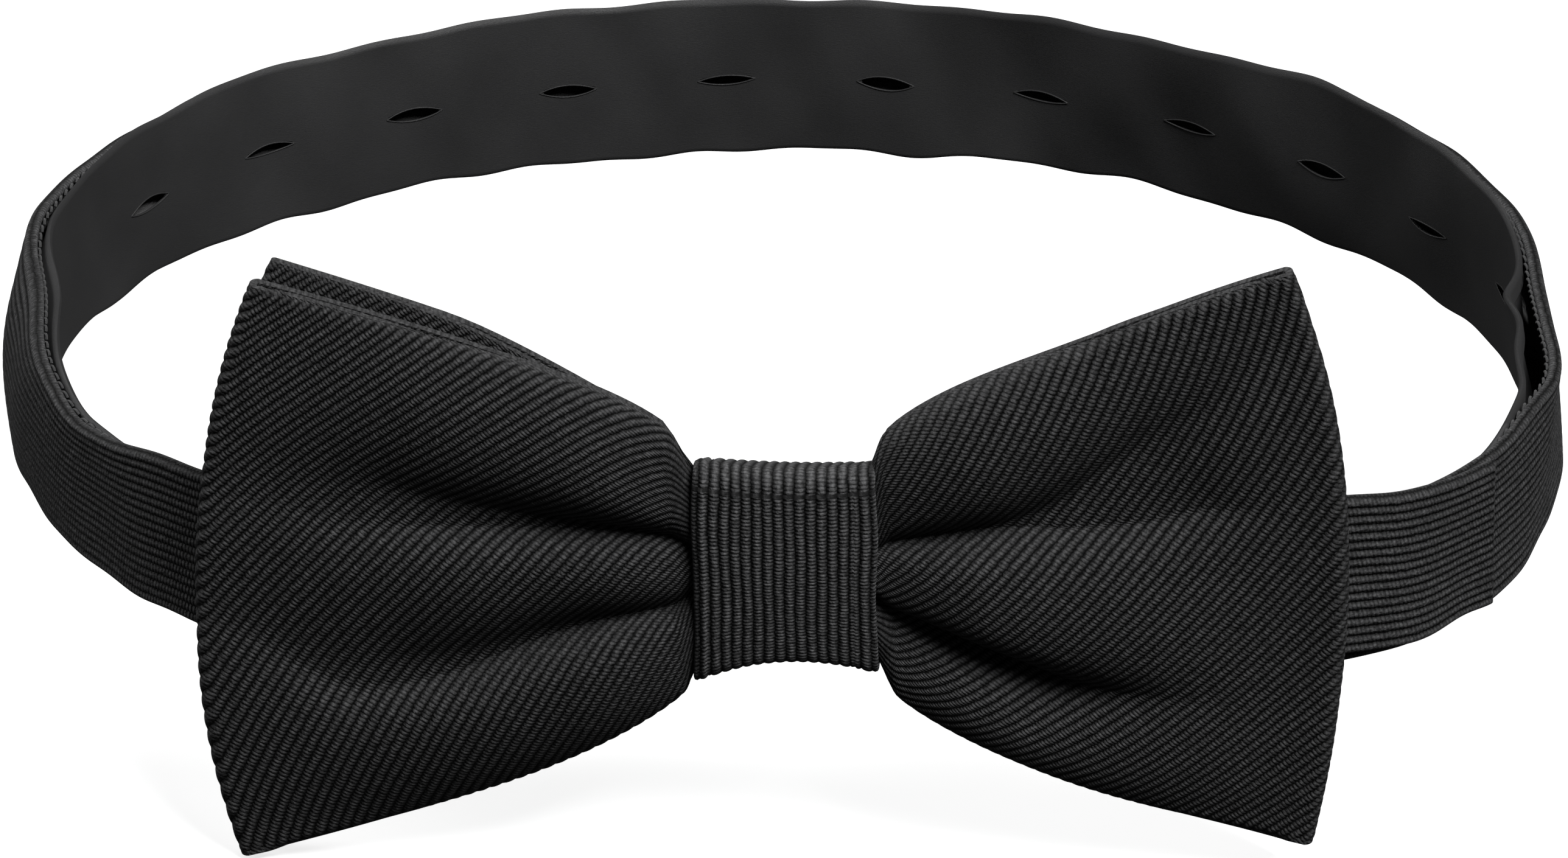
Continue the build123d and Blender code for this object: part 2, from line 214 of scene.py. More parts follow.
def on_loop(s):
    """Places and outward directions on the loop line, for an array of distances."""
    s = np.mod(np.asarray(s, float), LOOP)
    x, y, heading = np.zeros_like(s), np.zeros_like(s), np.zeros_like(s)
    for start, _, x0, y0, turned, radius in RUNS:
        on = s >= start - 1e-9
        d = s[on] - start
        if radius is None:
            x[on] = x0 + d * np.cos(turned)
            y[on] = y0 + d * np.sin(turned)
            heading[on] = turned
        else:
            after = turned + d / radius
            x[on] = x0 + radius * (np.sin(after) - np.sin(turned))
            y[on] = y0 + radius * (np.cos(turned) - np.cos(after))
            heading[on] = after
    return x, y, np.sin(heading), -np.cos(heading)


def smooth(low, high, v):
    """0 below low, 1 above high and an even S between."""
    t = np.clip((v - low) / (high - low), 0, 1)
    return t * t * (3 - 2 * t)


def window(v, low, full, fading, end):
    """1 from full to fading, 0 below low and above end."""
    return smooth(low, full, v) * (1 - smooth(fading, end, v))


def hump(v, centre, half):
    """A soft bump of height 1."""
    return np.exp(-(((v - centre) / half) ** 2))


def waver(s, wavelength, phase):
    """A slow uneven wave between about -1 and 1."""
    k = 2 * np.pi / wavelength
    return (np.sin(k * s + phase) + 0.6 * np.sin(1.7 * k * s + 2.1 * phase)) / 1.6


def from_knot(s):
    """Distances along the loop line as signed distances from the knot's middle."""
    return np.where(s > LOOP / 2, s - LOOP, s)


def strap_rise(s):
    """How far the strap is lifted: most behind the bow, and a little beside it at the hook's end."""
    x = from_knot(s)
    return RISE * (1 - smooth(LEVEL_HALF, RAMP_END, np.abs(x))) + 2.7 * hump(x, 54, 13)


def strap_width(s):
    """The strap's width, as a part of the full one: less in the knot and at its hook end."""
    x = from_knot(s)
    return 1 - SQUEEZE * (1 - smooth(LEVEL_HALF, RAMP_END, np.abs(x))) - 0.09 * smooth(56, 72, x)


def near_edge(up):
    """A weight that grows towards the band's upper edge. up goes from -1 to 1."""
    return np.clip((1 + up) / 2, 0, 1.2) ** 2


def edge_shift(m, out, up):
    """How the band's edges lean out and rise at its bends, where cloth and lining part."""
    top = near_edge(up)
    low = near_edge(-up)
    on_lining = np.clip((BAND_OUT - out) / 0.8, 0, 1)
    behind = window(m, 118, 138, 310, 332)
    in_front = 1 - window(m, 74, 90, 376, 390)
    lean = 1.1 * hump(m, 346, 22) * (1 - np.clip(up, -1, 1) ** 2) - 2.2 * hump(m, 350, 14) * top**2
    lean = lean + 0.9 * hump(m, 95, 7) * top - 1.5 * hump(m, 117, 13) * top
    rise = on_lining * (0.75 * behind - 1.5 * in_front) - 0.7 * (1 - on_lining) * behind
    rise = rise - 2.6 * hump(m, 375, 10) - 1.7 * (1 - smooth(64, 84, m)) - 0.6 * hump(m, 80, 7)
    rise = rise + 0.9 * hump(m, 150, 20) - 0.2 * hump(m, 307, 14) - 0.5 * hump(m, 392, 8)
    rise = rise * top + 0.7 * hump(m, 200, 24) * low
    slant = m - 6.5 * up
    tilt = window(slant, 204, 214, 300, 318) - window(slant, 122, 140, 194, 206)
    return lean + 0.8 * up * tilt, rise - 0.45 * np.abs(up) * up * tilt


def place(s, out, z, strap=False):
    """Points of the band or strap: distance, offset outward and height, softly uneven."""
    s, out, z = np.broadcast_arrays(np.asarray(s, float), out, z)
    m = np.mod(s, LOOP)
    up = z / BAND_HALF
    sway = 0.35 * waver(m, 41.0, 0.7) * up + 0.22 * waver(m, 23.0, 2.0) * (1 - up**2)
    drop = 0.2 * waver(m, 33.0, 1.3) + 0.25 * near_edge(up) * waver(m, 19.0, 4.0)
    drop = drop + 0.32 * near_edge(-up) * waver(m, 17.0, 0.3)
    uneven = smooth(50, 75, np.abs(from_knot(m)))
    side = out + sway * uneven
    height = z + drop * uneven
    if strap:
        height = height * strap_width(m) + strap_rise(m)
    else:
        lean, rise = edge_shift(m, out, up)
        side = side + lean
        height = height + rise
    x, y, nx, ny = on_loop(s)
    return np.stack([x + nx * side, y + ny * side, height], -1)


# ---------------------------------------------------------------- meshes
def make_object(name, points, faces, material, weave=None):
    """A mesh object from points in millimetres, shaded smooth, with its normals outward."""
    mesh = bpy.data.meshes.new(name)
    mesh.from_pydata((np.asarray(points) * MM).tolist(), [], faces)
    if weave is not None:
        attribute = mesh.attributes.new("weave", "FLOAT_VECTOR", "POINT")
        filled = np.zeros((len(points), 3), np.float32)
        filled[:, : weave.shape[1]] = weave
        attribute.data.foreach_set("vector", filled.ravel())
    bm = bmesh.new()
    bm.from_mesh(mesh)
    bmesh.ops.recalc_face_normals(bm, faces=bm.faces)
    bm.to_mesh(mesh)
    bm.free()
    mesh.shade_smooth()
    mesh.set_sharp_from_angle(angle=np.radians(75))
    mesh.materials.append(material)
    thing = bpy.data.objects.new(name, mesh)
    bpy.context.scene.collection.objects.link(thing)
    return thing


def quads(rows, columns, first=0, wrap=False):
    """Quads of a grid of points stored row by row. wrap joins the last column to the first."""
    last = columns if wrap else columns - 1
    i, j = np.meshgrid(np.arange(rows - 1), np.arange(last), indexing="ij")
    k = (j + 1) % columns
    corners = [i * columns + j, i * columns + k, (i + 1) * columns + k, (i + 1) * columns + j]
    return (np.stack(corners, -1).reshape(-1, 4) + first).tolist()


def two_skins(kept):
    """Faces of two equal grids of points, joined round their rim and round each opening.

    kept says which cells of the grids are there.
    """
    rows, columns = kept.shape
    first = np.arange((rows + 1) * (columns + 1)).reshape(rows + 1, columns + 1)
    second = first + first.size
    i, j = np.nonzero(kept)
    faces = []
    for skin in (first, second):
        faces.append(np.stack([skin[i, j], skin[i + 1, j], skin[i + 1, j + 1], skin[i, j + 1]], -1))
    around = np.pad(kept, 1)
    for di, dj, (a, b), (c, d) in (
        (-1, 0, (0, 0), (0, 1)),
        (1, 0, (1, 0), (1, 1)),
        (0, -1, (0, 0), (1, 0)),
        (0, 1, (0, 1), (1, 1)),
    ):
        neighbour = around[1 + di : 1 + di + rows, 1 + dj : 1 + dj + columns]
        i, j = np.nonzero(kept & ~neighbour)
        wall = [first[i + a, j + b], first[i + c, j + d], second[i + c, j + d], second[i + a, j + b]]
        faces.append(np.stack(wall, -1))
    return np.concatenate(faces).tolist()


def cord_shape(phase):
    """The height of one cord of the rib weave, from 0 in the gap to 1 on the crest."""
    return np.abs(np.sin(np.pi * phase)) ** 0.6


def folded_path(half, fold, thick, lip, step, facing=1):
    """A strip's section with both edges turned in: out, height, normal (out, height) and run."""
    radius = (fold - thick) / 2
    face = 2 * (half - radius - thick / 2)
    turn = np.pi * radius
    total = face + 2 * (turn + lip)
    w = np.linspace(-total / 2, total / 2, 2 * int(total / step / 2))
    a = np.clip((np.abs(w) - face / 2) / radius, 0, np.pi)
    side = np.sign(w)
    past = np.clip(np.abs(w) - face / 2 - turn, 0, None)
    height = side * (np.minimum(np.abs(w), face / 2) + radius * np.sin(a) - past)
    return np.stack([facing * radius * np.cos(a), height, facing * np.cos(a), side * np.sin(a), w])


def flat_path(out, half, step, facing=-1):
    """The section of a flat layer, in the same form."""
    w = np.linspace(-half, half, 2 * int(half / step))
    return np.stack([np.full_like(w, out), w, np.full_like(w, facing), np.zeros_like(w), w])


def slot_open(k, gape):
    """How far slot k stands open. The first one is full, because the hook is in it."""
    return 1.0 if k == 0 else gape * (1 + 0.25 * np.sin(2.3 * k))


def slit(s, gape):
    """Half the height of the slot at each distance, below 0 outside the slots."""
    opening = np.zeros_like(s)
    for k in range(SLOT_COUNT):
        off = (s - FIRST_SLOT - SLOT_PITCH * k) / (SLOT_LENGTH / 2)
        opening = np.maximum(opening, SLOT_HEIGHT / 2 * slot_open(k, gape) * (1 - off**2))
    return opening


def end_fold(s, ends):
    """How thick a layer is near its folded ends, as a part of its thickness elsewhere."""
    tuck = np.ones(len(s))
    for end in ends:
        close = np.clip(1 - np.abs(s - end) / (CLOTH_FOLD / 2), 0, 1)
        tuck = np.minimum(tuck, np.sqrt(np.clip(1 - close**2, 0.03, 1)))
    return tuck[:, None]


def strip(name, path, centre, ends, step, thick, material,
          ribs=False, gape=None, strap=False, rounded=(), pucker=None):
    """A layer of a band as a closed mesh, with real slots, carried along the loop line."""
    start, stop = ends
    rows = max(3, int(round((stop - start) / step)) + 1)
    s = np.linspace(start, stop, rows)
    out, z, n_out, n_z, w = (row[None] for row in path)
    columns = out.shape[1]
    raised = RIB_HEIGHT * (cord_shape(w / BAND_RIB) - 0.5) if ribs else 0.0
    opening = slit(s, gape) if gape is not None else np.zeros(rows)
    spread = opening[:, None] * np.exp(-np.abs(w) / SLOT_SPREAD) * np.sign(w)
    layers = []
    for offset in (thick / 2 + raised, -thick / 2):
        across = (out + n_out * offset) * end_fold(s, rounded)
        if pucker is not None:
            across = across + pucker(s[:, None], z)
        layers.append(place(s[:, None], centre + across, z + n_z * offset + spread, strap))
    cut = (opening[1:] > 0.02) & (opening[:-1] > 0.02)
    kept = np.ones((rows - 1, columns - 1), bool)
    kept[cut, columns // 2 - 1] = False
    weave = None
    if ribs:
        one = np.stack(np.broadcast_arrays(w / BAND_RIB, s[:, None] / CROSS_THREAD), -1).reshape(-1, 2)
        weave = np.concatenate([one, one])
    points = np.concatenate([layer.reshape(-1, 3) for layer in layers])
    return make_object(name, points, two_skins(kept), material, weave)


def tubes(name, paths, radius, material, sides=8):
    """Threads: a round tube along each path of points, closed at its ends."""
    turn = np.linspace(0, 2 * np.pi, sides, endpoint=False)
    cosine, sine = (wave(turn)[None, :, None] for wave in (np.cos, np.sin))
    points, faces, first = [], [], 0
    for path in paths:
        along = np.gradient(path, axis=0)
        along /= np.maximum(np.linalg.norm(along, axis=1, keepdims=True), 1e-9)
        guide = np.where(np.abs(along[:, 2:]) < 0.8, [[0, 0, 1.0]], [[0, 1.0, 0]])
        side = np.cross(along, guide)
        side /= np.linalg.norm(side, axis=1, keepdims=True)
        other = np.cross(along, side)
        ring = cosine * side[:, None] + sine * other[:, None]
        points.append((path[:, None] + radius * ring).reshape(-1, 3))
        faces += quads(len(path), sides, first, wrap=True)
        faces.append(list(range(first, first + sides)))
        first += len(path) * sides
        faces.append(list(range(first - sides, first)))
    return make_object(name, np.concatenate(points), faces, material)


def finish_piece(piece, hold, nodes):
    """What every piece needs: its hold, which gives it a body to ride on or bakes its place, and the CAD
    nodes it stands for hidden.
    """
    hold(piece)
    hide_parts(*nodes)


# ---------------------------------------------------------------- materials
class Shader:
    """A short way to write a material's nodes."""

    def __init__(self, name):
        self.material = bpy.data.materials.new(name)
        self.material.use_nodes = True
        self.tree = self.material.node_tree
        self.surface = self.tree.nodes["Principled BSDF"]

    def node(self, kind, inputs=(), **settings):
        made = self.tree.nodes.new(kind)
        for key, value in settings.items():
            setattr(made, key, value)
        for key, value in dict(inputs).items():
            self.feed(made.inputs[key], value)
        return made

    def feed(self, socket, value):
        if isinstance(value, bpy.types.NodeSocket):
            self.tree.links.new(value, socket)
        else:
            socket.default_value = value

    def math(self, operation, a, b=0.0, c=0.0):
        return self.node("ShaderNodeMath", {0: a, 1: b, 2: c}, operation=operation).outputs[0]

    def ridges(self, phase):
        """Rounded ridges, one for each whole step of phase."""
        return self.math("ABSOLUTE", self.math("SINE", self.math("MULTIPLY", phase, np.pi)))

    def coordinates(self):
        """Object coordinates, in metres."""
        return self.node("ShaderNodeTexCoord").outputs["Object"]

    def stretched(self, scale):
        """Object coordinates scaled along each axis."""
        inputs = {0: self.coordinates(), 3: scale}
        return self.node("ShaderNodeMapping", inputs, vector_type="POINT").outputs[0]

    def noise(self, scale, detail, vector=None):
        inputs = {"Scale": scale, "Detail": detail}
        if vector is not None:
            inputs["Vector"] = vector
        return self.node("ShaderNodeTexNoise", inputs).outputs["Fac"]

    def between(self, factor, low, high):
        """A grey that goes from low to high with the factor."""
        inputs = {0: factor, 6: grey(low), 7: grey(high)}
        return self.node("ShaderNodeMix", inputs, data_type="RGBA").outputs[2]

    def bump(self, strength, distance, height):
        inputs = {"Strength": strength, "Distance": distance, "Height": height}
        return self.node("ShaderNodeBump", inputs).outputs[0]

    def set(self, **values):
        for key, value in values.items():
            self.feed(self.surface.inputs[key.replace("_", " ")], value)
        return self.material


def grey(value):
    """A very slightly cool grey."""
    return (value, value, value * 1.02, 1.0)


def ribbed_cloth(name, light, seed=0.0):
    """Corded silk weave: rounded cords, fine threads across them, uneven wear, painted glints (the
    bright specks) and painted shade in the cord grooves.
    """
    sh = Shader(name)
    weave = sh.node("ShaderNodeAttribute", attribute_name="weave").outputs["Vector"]
    cords, threads, pressed = sh.node("ShaderNodeSeparateXYZ", {0: weave}).outputs
    at = sh.coordinates()
    wobble = sh.noise(1500.0 + seed, 2.0, at)
    phase = sh.math("ADD", cords, sh.math("MULTIPLY_ADD", wobble, 0.3, -0.15))
    crest = sh.math("POWER", sh.ridges(phase), 0.7)
    crest = sh.math("MAXIMUM", crest, sh.math("MULTIPLY", pressed, 0.9))
    thread = sh.ridges(sh.math("MULTIPLY_ADD", sh.math("FLOOR", phase), 0.37, threads))
    grain = sh.noise(3600.0, 3.0, at)
    # Painted highlights: sparse bright specks that stand for glints on the threads.
    glint = sh.math("POWER", sh.noise(2300.0 + seed, 2.0, at), 3.0)
    cloud = sh.noise(60.0 + seed, 2.0, at)
    relief = sh.math("MULTIPLY_ADD", thread, 0.4, crest)
    relief = sh.math("MULTIPLY_ADD", grain, 0.9, relief)
    # Painted shade: crest squared darkens the colour into the grooves between the cords, where shade
    # falls, and less where the rim is pressed flat. The beads of the cross threads are weave pattern.
    shade = sh.math("MULTIPLY", sh.math("POWER", crest, 2.0), sh.math("MULTIPLY_ADD", thread, 0.4, 0.35))
    # The cloth's own fine grain, plus the painted glints.
    grain_and_glints = sh.math("ADD", 0.1, sh.math("MULTIPLY_ADD", glint, 4.6, grain))
    shade = sh.math("MULTIPLY", shade, grain_and_glints)
    shade = sh.math("MULTIPLY", shade, sh.math("MULTIPLY_ADD", cloud, 0.5, 0.72))
    return sh.set(Base_Color=sh.between(shade, 0.0012, light), Normal=sh.bump(0.9, 0.00025, relief),
                  Roughness=sh.math("MULTIPLY_ADD", grain, 0.2, 0.5),
                  Sheen_Weight=0.02, Sheen_Roughness=0.4, Specular_IOR_Level=0.2)


def satin(name):
    """Plain satin lining: fine threads along the band, soft shine, faint clouding."""
    sh = Shader(name)
    fine = sh.noise(2600.0, 2.0, sh.stretched((1.0, 1.0, 9.0)))
    cloud = sh.noise(85.0, 3.0, sh.coordinates())
    mottled = sh.math("MULTIPLY_ADD", cloud, 0.6, sh.math("MULTIPLY", fine, 0.5))
    relief = sh.math("MULTIPLY_ADD", cloud, 2.0, fine)
    return sh.set(Base_Color=sh.between(mottled, 0.020, 0.045), Normal=sh.bump(0.35, 0.00012, relief),
                  Roughness=sh.math("MULTIPLY_ADD", cloud, 0.2, 0.40),
                  Sheen_Weight=0.02, Specular_IOR_Level=0.28)


def felt(name):
    """Interlining: matted grey fibres."""
    sh = Shader(name)
    fibres = sh.noise(3000.0, 4.0)
    return sh.set(Base_Color=sh.between(fibres, 0.02, 0.09), Normal=sh.bump(0.5, 0.0002, fibres),
                  Roughness=0.95, Sheen_Weight=0.3)


def twisted_thread(name):
    """Sewing thread: a slightly shiny two-ply twist."""
    sh = Shader(name)
    inputs = {"Scale": 900.0, "Distortion": 2.0}
    twist = sh.node("ShaderNodeTexWave", inputs, bands_direction="DIAGONAL").outputs["Fac"]
    return sh.set(Base_Color=sh.between(twist, 0.02, 0.06), Normal=sh.bump(0.5, 0.00008, twist),
                  Roughness=0.5, Sheen_Weight=0.2)


def hook_steel(name):
    """Blackened steel, worn brighter in fine scratches."""
    sh = Shader(name)
    scratch = sh.noise(1800.0, 4.0, sh.stretched((1.0, 12.0, 1.0)))
    wear = sh.noise(500.0, 3.0, sh.coordinates())
    return sh.set(Base_Color=sh.between(wear, 0.16, 0.42), Normal=sh.bump(0.25, 0.00005, scratch),
                  Roughness=sh.math("MULTIPLY_ADD", scratch, 0.22, 0.24), Metallic=1.0)


# One ribbed silk in three copies that differ only as painted light: the knot's copy is painted lighter
# than the band's, and the wings' copy darker, for how brightly each part is lit.
WING_CLOTH = ribbed_cloth("wing_cloth", light=0.076)
KNOT_CLOTH = ribbed_cloth("knot_cloth_weave_painted_lighter", light=0.122, seed=11.0)
BAND_CLOTH = ribbed_cloth("band_cloth", light=0.088, seed=5.0)
SATIN = satin("satin_lining")
FELT = felt("interlining_felt")
THREAD = twisted_thread("sewing_thread")
STEEL = hook_steel("hook_steel")


# ---------------------------------------------------------------- bow loops
# A wing's outline in front view: it opens from NECK to WING_REACH, and its finely shaped part
# starts at WING_START. The columns inside the knot are far apart.
NECK = 9.6
NECK_HALF = 12.0
WING_RISE = 22.8
WING_REACH = 57.0
WING_START = 8.0
IN_KNOT = (0.0, 2.0, 4.0, 6.0)

# The meshes of the bow loops: the points up a column, how much coarser the back ply and the
# inner faces are, the columns of the outer fold, and the interlining's step and rows.
COLUMN_SAMPLES = 900
COLUMN_LENGTH = 74.0
BACK_COARSER = 4
INNER_STEP = 4
FOLD_COLUMNS = 13
FELT_STEP = 1.0
FELT_ROWS = 61


def wing_height(x, close):
    """Half the height of a bow loop at a distance from its middle. close is its half in the knot."""
    grown = np.clip((x - NECK) / (WING_REACH - NECK), 0, 1.2)
    open_height = NECK_HALF + WING_RISE * grown**0.61
    return close + (open_height - close) * smooth(8.4, 12.2, x)


def crease(t, centre, above, below):
    """A fold's cross-section: 1 at its floor, a steep wall and a long soft shoulder each side."""
    d = t - centre
    width = np.where(d > 0, above, below)
    away = np.sqrt((d / width) ** 2 + 0.0625) - 0.25
    return 0.72 * np.exp(-away) + 0.28 * np.exp(-away / 4)


def left_folds(a, t):
    """How deep the left wing's folds are, along the wing (a) and up it (t)."""
    upper_line = 0.205 + 0.1 * a**6
    lower_line = -0.33 - 0.135 * smooth(0.22, 0.62, a) + 0.3 * smooth(0.72, 1.0, a)
    below = 0.05 + 0.11 * a**3
    upper = (1 - 0.45 * smooth(0.65, 1.0, a)) * crease(t, upper_line, 0.08 + 0.2 * a, below)
    lower = (1 - 0.45 * smooth(0.6, 1.0, a)) * crease(t, lower_line, 0.11 + 0.19 * a, below)
    return upper + lower


def right_folds(a, t):
    """The same for the right wing. Its upper fold forks, and its lower one drops sharply."""
    upper_line = 0.2
    fork_line = 0.2 + 1.15 * np.clip(a - 0.44, 0, 1)
    lower_line = -0.53 + 0.24 * (1 - smooth(0.0, 0.5, a))
    upper = (1 - smooth(0.62, 0.98, a)) * crease(t, upper_line, 0.08 + 0.25 * a, 0.04 + 0.04 * a)
    fork = 0.6 * smooth(0.3, 0.6, a) * crease(t, fork_line, 0.16, 0.12)
    lower_width = (0.04 + 0.2 * a**2, 0.14 + 0.1 * a)
    lower = (1 - 0.8 * smooth(0.3, 0.85, a)) * crease(t, lower_line, *lower_width)
    return upper + fork + lower


@dataclass
class Wing:
    """What differs between the wings. height is a part of the common one, and skew lowers its
    top. sag is how far it hangs near the knot. bow is how far its outer edge bulges, crest moves
    the bulge up, and slant turns the edge."""

    side: int
    folds: Callable
    height: float
    skew: float
    sag: float
    bow: float
    crest: float
    slant: float


LEFT_WING = Wing(-1, left_folds, height=0.986, skew=-0.026, sag=0.0, bow=5.0, crest=0.0, slant=2.9)
RIGHT_WING = Wing(1, right_folds, height=0.983, skew=-0.038, sag=0.9, bow=4.3, crest=0.12, slant=-0.2)


@dataclass
class Loop:
    """One bow loop. front and back are how far its plies lie in front of the strap, and puff is
    how far its front ply swells. reach is its left and right corner's distance, and close is half
    its height in the knot. waist narrows it beside the knot, and trim all along."""

    front: float
    back: float
    puff: float
    reach: tuple
    close: float
    waist: float = 0.0
    trim: float = 0.0
    tilt: float = 0.0
    lift: float = 0.0

    def corner(self, wing):
        """The distance of a wing's corners from the middle."""
        return self.reach[0] if wing is LEFT_WING else self.reach[1]

    def front_ply(self, wing, a, t, half):
        """Where the front ply lies (y), along the wing (a) and up a column of it (t)."""
        crown = (1 - np.abs(t) ** 3.5) ** 0.8
        full = self.puff * smooth(-0.1, 0.30, a) * (1 - 0.80 * smooth(0.5, 1.0, a))
        front = STRAP_FACE - self.front + 1.6 * smooth(0.0, 1.0, a) * (1 - crown * 0.6)
        front = front - full * crown
        if not self.puff:
            return front
        back = STRAP_FACE - self.back
        front = front + (full + 1.0) * crown * wing.folds(a, t)
        deepest = back - 1.5
        front = deepest - np.logaddexp(0, (deepest - front) / 0.3) * 0.3 + 0.2
        edge = np.clip(1 - (1 - np.abs(t)) * half / ROLL, 0, 1)
        rolled = ROLL * (1 - np.sqrt(np.clip(1 - edge**2, 0, 1))) * (1 - smooth(0.9, 0.99, a))
        return front + np.minimum(rolled, np.maximum(back - front - 1.0, 0))

    def column(self, wing, away, turn, t):
        """Points up the cloth. turn is 0 on the front ply, 1 on the back, between in the outer fold."""
        corner = self.corner(wing)
        a = np.clip((away - WING_START) / (corner - WING_START), 0, 1)
        half = wing_height(away * WING_REACH / corner, self.close) - self.trim
        half = half - self.waist * (1 - smooth(12, 36, away)) * smooth(9, 10.4, away)
        z = t * half * (wing.height + wing.skew * t * smooth(9, 30, away))
        z = z - wing.sag * (1 - smooth(0.5, 1.0, a))
        bulge = (wing.bow * (1 - t**2) * (1 + wing.crest * t) - wing.slant * t) * a**2.5
        front = self.front_ply(wing, a, t, half)
        back = STRAP_FACE - self.back
        radius = (back - front) / 2
        x = wing.side * (away + bulge + 0.8 * radius * np.sin(np.pi * turn))
        y = (front + back) / 2 - radius * np.cos(np.pi * turn)
        return np.stack([x, y, z], -1)

    def way_round(self, wing, fine):
        """The columns of one wing, from the front ply's middle round to the seam behind it."""
        corner = self.corner(wing)
        ahead = [(v, 0.0) for v in (*IN_KNOT, *np.arange(WING_START, corner, fine))]
        fold = [(corner, turn) for turn in np.linspace(0, 1, FOLD_COLUMNS)]
        behind = [(v, 1.0) for v in (*IN_KNOT, *np.arange(WING_START, corner, BACK_COARSER * fine))]
        return [(wing, away, turn) for away, turn in ahead + fold + behind[::-1]]

    def grid(self, fine, rows):
        """The middle surface of the loop, from the seam behind the knot round and back to it."""
        left = self.way_round(LEFT_WING, fine)[1:]
        columns = left[::-1] + self.way_round(RIGHT_WING, fine)
        while (len(columns) - 1) % INNER_STEP:
            columns.pop(len(columns) // 2 + 3)
        t = np.linspace(-1, 1, COLUMN_SAMPLES)
        made = []
        for wing, away, turn in columns:
            points = self.column(wing, away, turn, t)
            run = np.concatenate([[0], np.cumsum(np.linalg.norm(np.diff(points, axis=0), axis=1))])
            even = np.linspace(0, run[-1], rows)
            made.append(np.stack([np.interp(even, run, points[:, k]) for k in range(3)], -1))
        x, y, z = np.moveaxis(np.array(made), -1, 0)
        c, s = np.cos(np.radians(self.tilt)), np.sin(np.radians(self.tilt))
        return np.stack([x * c + z * s, y, BOW_Z + self.lift - x * s + z * c], -1)


def grid_normals(grid):
    """Unit normals of a grid of points, outward when columns run left to right in front."""
    n = np.cross(np.gradient(grid, axis=0), np.gradient(grid, axis=1))
    return n / np.maximum(np.linalg.norm(n, axis=-1, keepdims=True), 1e-9)


def bias_weave(grid):
    """Where each point of a bow loop is in its weave: cords, threads and how flat it is pressed."""
    steps = np.median(np.linalg.norm(np.diff(grid, axis=0), axis=-1), axis=1)
    along = np.concatenate([[0], np.cumsum(steps)])[:, None]
    along = along - along[-1] / 2
    across = np.linspace(-STRIP_HALF, STRIP_HALF, grid.shape[1])[None]
    side = np.tanh(np.median(grid[..., 0], axis=1, keepdims=True) / 5)
    fan = FAN * across**2 / (2 * STRIP_HALF) * -side
    cords = (across * np.cos(BIAS) + fan - along * np.sin(BIAS)) / RIB
    threads = (across * np.sin(BIAS) + along * np.cos(BIAS)) / CROSS_THREAD
    rim_start, rim_full = (STRIP_HALF - inset for inset in PRESSED_RIM)
    pressed = smooth(rim_start, rim_full, np.abs(across)) + 0 * cords
    return np.stack([cords, threads, pressed], -1)


def ply_mesh(name, grid, thick, material, ribs=True):
    """A closed sheet: a fine outer face, a coarser inner face of every few points, and a rim."""
    normals = grid_normals(grid)
    weave = None
    raised = 0
    if ribs:
        fine = bias_weave(grid)
        cords, _, pressed = np.moveaxis(fine, -1, 0)
        raised = (RIB_HEIGHT * (cord_shape(cords) - 0.5) * (1 - pressed))[..., None]
        weave = np.concatenate([fine.reshape(-1, 3), fine[::INNER_STEP, ::INNER_STEP].reshape(-1, 3)])
    outer = grid + normals * (thick / 2 + raised)
    inner = (grid - normals * thick / 2)[::INNER_STEP, ::INNER_STEP]
    n, m = grid.shape[:2]
    p, q = inner.shape[:2]
    outer_id = np.arange(n * m).reshape(n, m)
    inner_id = np.arange(p * q).reshape(p, q) + n * m
    faces = quads(n, m) + quads(p, q, n * m)
    rims = [(outer_id[:, end], inner_id[:, end]) for end in (0, -1)]
    rims += [(outer_id[end], inner_id[end]) for end in (0, -1)]
    for many, few in rims:
        for k in range(len(few) - 1):
            first = INNER_STEP * k
            face = [*many[first : first + INNER_STEP + 1], few[k + 1], few[k]]
            faces.append([int(v) for v in face])
    points = np.concatenate([outer.reshape(-1, 3), inner.reshape(-1, 3)])
    return make_object(name, points, faces, material, weave)


def riding(body):
    return lambda piece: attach(piece, body)


def build_bow(name, loop, inside, fine):
    """The cloth of one bow loop and the interlining in it. fine is the cloth's mesh size."""
    rows = INNER_STEP * int(COLUMN_LENGTH / fine / INNER_STEP) + 1
    cloth = ply_mesh(name, loop.grid(fine, rows), BOW_CLOTH_THICK, WING_CLOTH)
    felt_grid = inside.grid(FELT_STEP, FELT_ROWS)
    stiffener = ply_mesh(name + "_stiffener", felt_grid, BOW_FELT_THICK, FELT, ribs=False)
    finish_piece(cloth, riding("bow"), [name + "_cloth"])
    finish_piece(stiffener, riding("bow"), [name + "_interlining"])


build_bow(
    "front_bow",
    Loop(6.6, 4.1, 5.2, (56.0, 52.9), 9.0, tilt=-2.4),
    Loop(4.9, 4.8, 0.0, (55.0, 51.9), 7.6, trim=1.4, tilt=-2.4),
    fine=0.26,
)
build_bow(
    "back_bow",
    Loop(2.9, 1.0, 0.0, (55.3, 52.0), 7.0, waist=3.0, tilt=-0.9, lift=-0.6),
    Loop(2.1, 1.8, 0.0, (54.3, 51.0), 5.6, waist=3.0, trim=1.4, tilt=-0.9, lift=-0.6),
    fine=0.5,
)


